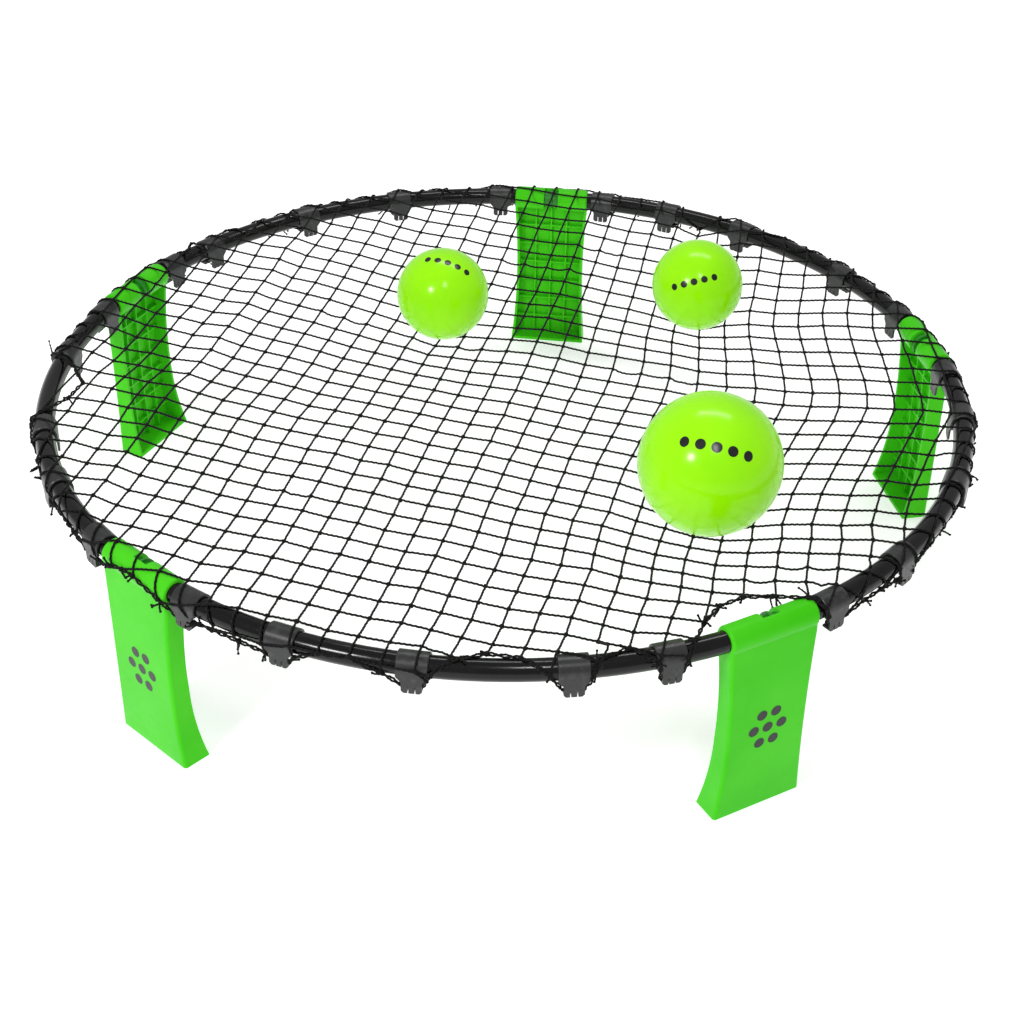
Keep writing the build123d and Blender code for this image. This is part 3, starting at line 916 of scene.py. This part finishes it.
def build_piece(name, collected):
    """A piece of the net from collected cords or knots."""
    piece = make_mesh(name, np.vstack(collected.points), collected.faces, "net_cord", "ring")
    return piece


def stepped(net, chain):
    """A line's points, where its cord steps aside at each knot that it goes through."""
    line = net.points[chain].copy()
    at_knots = [k for k, point in enumerate(chain) if point < net.knot_count][1:-1]
    along = line[-1] - line[0]
    across = np.cross(along, (0, 0, 1))
    across /= np.linalg.norm(across)
    for count, k in enumerate(at_knots):
        line[k] += across * (KNOT_STEP if count % 2 else -KNOT_STEP)
    return line


def wound_pair(middle):
    """Two cords wound round each other along a closed line."""
    along = lengths_along(middle)
    turns = round(along[-1] / PAIR_PITCH)
    turn = 2 * math.pi * turns * along / along[-1]
    tangent = tangents(middle, closed=True)
    out = middle * (1, 1, 0)
    out -= tangent * np.einsum("ij,ij->i", out, tangent)[:, None]
    out /= np.linalg.norm(out, axis=1)[:, None]
    up = np.cross(out, tangent)
    swing = PAIR_REACH * (np.cos(turn)[:, None] * out + np.sin(turn)[:, None] * up)
    return middle + swing, middle - swing


def mesh_cords(net, kind, name):
    """The net's rows or its columns."""
    cords = Cords(CORD_RADIUS)
    for line_kind, chain in net.chains:
        if line_kind == kind:
            cords.add(smooth_line(stepped(net, chain), CORD_SPACING))
    return build_piece(name, cords)


def edge_cords(net):
    cords = Cords(EDGE_CORD_RADIUS, EDGE_CORD_PITCH)
    middle = smooth_line(net.points[net.chains[-1][1]], CORD_SPACING, closed=True)
    for line in wound_pair(middle):
        cords.add(line, closed=True)
    return build_piece("net_edge", cords)


def mesh_knots(net):
    """A knot wherever a row crosses a column."""
    knots = Knots(KNOT_SEED)
    on_edge = set(net.edge.tolist())
    for k in range(net.knot_count):
        if k not in on_edge:
            knots.add(net.points[k], KNOT_RADIUS)
    return build_piece("net_knots", knots)


def cut_end(centre, random):
    """The line of a cord's short cut end, from the knot it comes out of."""
    outward = centre * (1, 1, 0) / math.hypot(centre[0], centre[1])
    way = random.standard_normal(3) + TAIL_OUTWARD * outward
    way /= np.linalg.norm(way)
    length = random.uniform(*TAIL_LENGTHS)
    curl = np.cross(way, random.standard_normal(3)) * length * TAIL_CURL
    t = np.linspace(0, 1, TAIL_POINTS)[:, None]
    tail = centre + way * length * t + curl * t**2
    reach = np.hypot(tail[:, 0], tail[:, 1])
    tail[:, :2] *= (np.minimum(reach, EDGE_LIMIT) / reach)[:, None]
    return tail


def edge_knots_and_ends(net):
    """A knot wherever a mesh cord meets the edge, with up to three cut ends, each with a blob."""
    knots, tails = Knots(EDGE_KNOT_SEED), Cords(TAIL_RADIUS, TAIL_PITCH)
    random = np.random.default_rng(TAIL_SEED)
    for k in net.edge:
        knots.add(net.points[k], EDGE_KNOT_RADIUS)
        for _ in range(int(random.integers(*TAIL_COUNTS))):
            tail = cut_end(net.points[k], random)
            tails.add(tail)
            knots.add(tail[-1], TAIL_KNOT_RADIUS)
    return build_piece("net_edge_knots", knots), build_piece("net_tails", tails)


def make_net():
    """The knotted net, which takes the place of the CAD's plain dish."""
    net = settled_net()
    pieces = [
        mesh_cords(net, 0, "net_rows"),
        mesh_cords(net, 1, "net_columns"),
        edge_cords(net),
        mesh_knots(net),
        *edge_knots_and_ends(net),
    ]
    solids = [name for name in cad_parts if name.startswith(("net_middle", "net_side"))]
    for piece in pieces:
        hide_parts(*solids)


make_net()


# ---- Balls --------------------------------------------------------------------------------------
def ball_profile(radius):
    """A ball's outline from inside the valve's hole, as (out from the axis, along the axis)."""
    first = math.asin((VALVE_HOLE + HOLE_LIP) / radius)
    seam = math.pi / 2
    before = np.linspace(first, seam - 2 * RIDGE_STEP, BALL_RINGS)
    after = np.linspace(seam + 2 * RIDGE_STEP, math.pi - POLE_GAP, BALL_RINGS)
    angles = [*before, seam - RIDGE_STEP, seam, seam + RIDGE_STEP, *after]
    outer_edge = radius * math.cos(first)
    profile = [(VALVE_HOLE, outer_edge - BALL_WALL), (VALVE_HOLE, outer_edge - HOLE_LIP)]
    for angle in angles:
        reach = radius + (RIDGE_HEIGHT if angle == seam else 0.0)
        profile.append((reach * math.sin(angle), reach * math.cos(angle)))
    return profile


def make_ball(name):
    """A ball with a valve hole at its rear pole and a fine parting ridge round its middle."""
    centre, radius = BALL_SPHERES[name]
    profile = ball_profile(radius)
    turn = 2 * math.pi * np.arange(BALL_SIDES) / BALL_SIDES
    rings = [
        np.c_[wide * np.cos(turn), np.full(BALL_SIDES, deep), wide * np.sin(turn)]
        for wide, deep in profile
    ]
    base, ahead = numbered_rings(len(profile), BALL_SIDES)
    faces = np.stack([base[:-1], base[1:], ahead[1:], ahead[:-1]], axis=-1).reshape(-1, 4).tolist()
    faces.append(base[-1][::-1].tolist())
    piece = make_mesh(f"{name}_skin", np.concatenate(rings) + centre, faces, "ball_rubber", name)
    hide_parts(name)


for ball in BALLS:
    make_ball(ball)


# ---- Printed marks ------------------------------------------------------------------------------
def dot_on(surface, centre, across, up, radius):
    """A round dot laid on a surface: its middle and rings of points, and its faces."""
    points = [surface(centre)]
    for ring in range(1, DOT_RINGS + 1):
        for k in range(DOT_SIDES):
            turn = 2 * math.pi * k / DOT_SIDES
            way = across * math.cos(turn) + up * math.sin(turn)
            points.append(surface(centre + way * (radius * ring / DOT_RINGS)))
    faces = [(0, 1 + k, 1 + (k + 1) % DOT_SIDES) for k in range(DOT_SIDES)]
    for ring in range(1, DOT_RINGS):
        inner, outer = 1 + (ring - 1) * DOT_SIDES, 1 + ring * DOT_SIDES
        for k in range(DOT_SIDES):
            ahead = (k + 1) % DOT_SIDES
            faces.append((inner + k, outer + k, outer + ahead, inner + ahead))
    return points, faces


def make_dots(name, body, surface, centres, across, up, radius):
    """Dots of one size as one piece."""
    points, faces = [], []
    for centre in centres:
        dot, dot_faces = dot_on(surface, centre, across, up, radius)
        faces += [tuple(len(points) + k for k in face) for face in dot_faces]
        points += dot
    make_mesh(name, points, faces, "mark_ink", body)


def mark_ball(ball, facing, tilt, radius, gap):
    """Five dots in a row across a ball, on the side it faces, the row tilted from level."""
    centre, size = BALL_SPHERES[ball]
    facing = np.array(facing) / np.linalg.norm(facing)
    level = np.cross((0, 0, 1), facing)
    level /= np.linalg.norm(level)
    upright = np.cross(facing, level)
    across = level * math.cos(math.radians(tilt)) + upright * math.sin(math.radians(tilt))
    up = np.cross(facing, across)

    def surface(point):
        way = point - centre
        return centre + way * ((size + MARK_LIFT) / np.linalg.norm(way))

    def place(k):
        turn = k * gap / size
        return centre + size * (math.cos(turn) * facing + math.sin(turn) * across)

    make_dots(f"{ball}_mark", ball, surface, map(place, BALL_MARK_STEPS), across, up, radius)


def mark_leg(leg):
    """Seven dots in a close cluster on a leg's outer face."""
    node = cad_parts[f"leg_{leg}"]
    tree = BVHTree.FromPolygons(
        [vertex.co for vertex in node.data.vertices],
        [list(polygon.vertices) for polygon in node.data.polygons],
    )
    turn = turn_of(f"leg_{leg}")
    out = np.array((*direction(turn), 0.0))
    across = np.array((*direction(turn + 90), 0.0))
    up = np.array((0.0, 0.0, 1.0))

    def surface(point):
        found = tree.ray_cast(Vector(point), Vector(-out))[0]
        return np.array(found) + MARK_LIFT * out

    centres = [
        RAY_START * out + across * LEG_DOTS_ACROSS * x + up * (LEG_MARK_HEIGHT + LEG_DOTS_UP * z)
        for x, z in LEG_DOTS
    ]
    make_dots(f"leg_{leg}_mark", f"leg_{leg}", surface, centres, across, up, LEG_DOT_RADIUS)


for mark in BALL_MARKS:
    mark_ball(*mark)
for leg in LEGS:
    mark_leg(leg)


# ---- Light and floor ----------------------------------------------------------------------------
def make_light(name, place, size, power, shape):
    """An area light that faces the set."""
    data = bpy.data.lights.new(name, "AREA")
    data.shape = shape
    data.size, data.size_y = size
    data.energy = power
    light = bpy.data.objects.new(name, data)
    light.location = place
    light.rotation_euler = (Vector(LIGHT_TARGET) - Vector(place)).to_track_quat("-Z", "Y").to_euler()
    bpy.context.collection.objects.link(light)


def make_floor():
    data = bpy.data.meshes.new("floor")
    corners = [(x * FLOOR_REACH, y * FLOOR_REACH, 0) for x, y in ((-1, -1), (1, -1), (1, 1), (-1, 1))]
    data.from_pydata(corners, [], [(0, 1, 2, 3)])
    data.materials.append(MATERIALS["floor_paper"])
    floor = bpy.data.objects.new("floor", data)
    floor.location.z = -FLOOR_DROP
    bpy.context.collection.objects.link(floor)


def make_world():
    """Even white light from all round."""
    world = bpy.data.worlds.new("studio")
    bpy.context.scene.world = world
    world.use_nodes = True
    sky = world.node_tree.nodes["Background"]
    sky.inputs["Color"].default_value = colour(1.0, 1.0, 1.0)
    sky.inputs["Strength"].default_value = SKY_STRENGTH


make_floor()
make_world()
for light in LIGHTS:
    make_light(*light)
bpy.context.scene.view_settings.view_transform = "Standard"
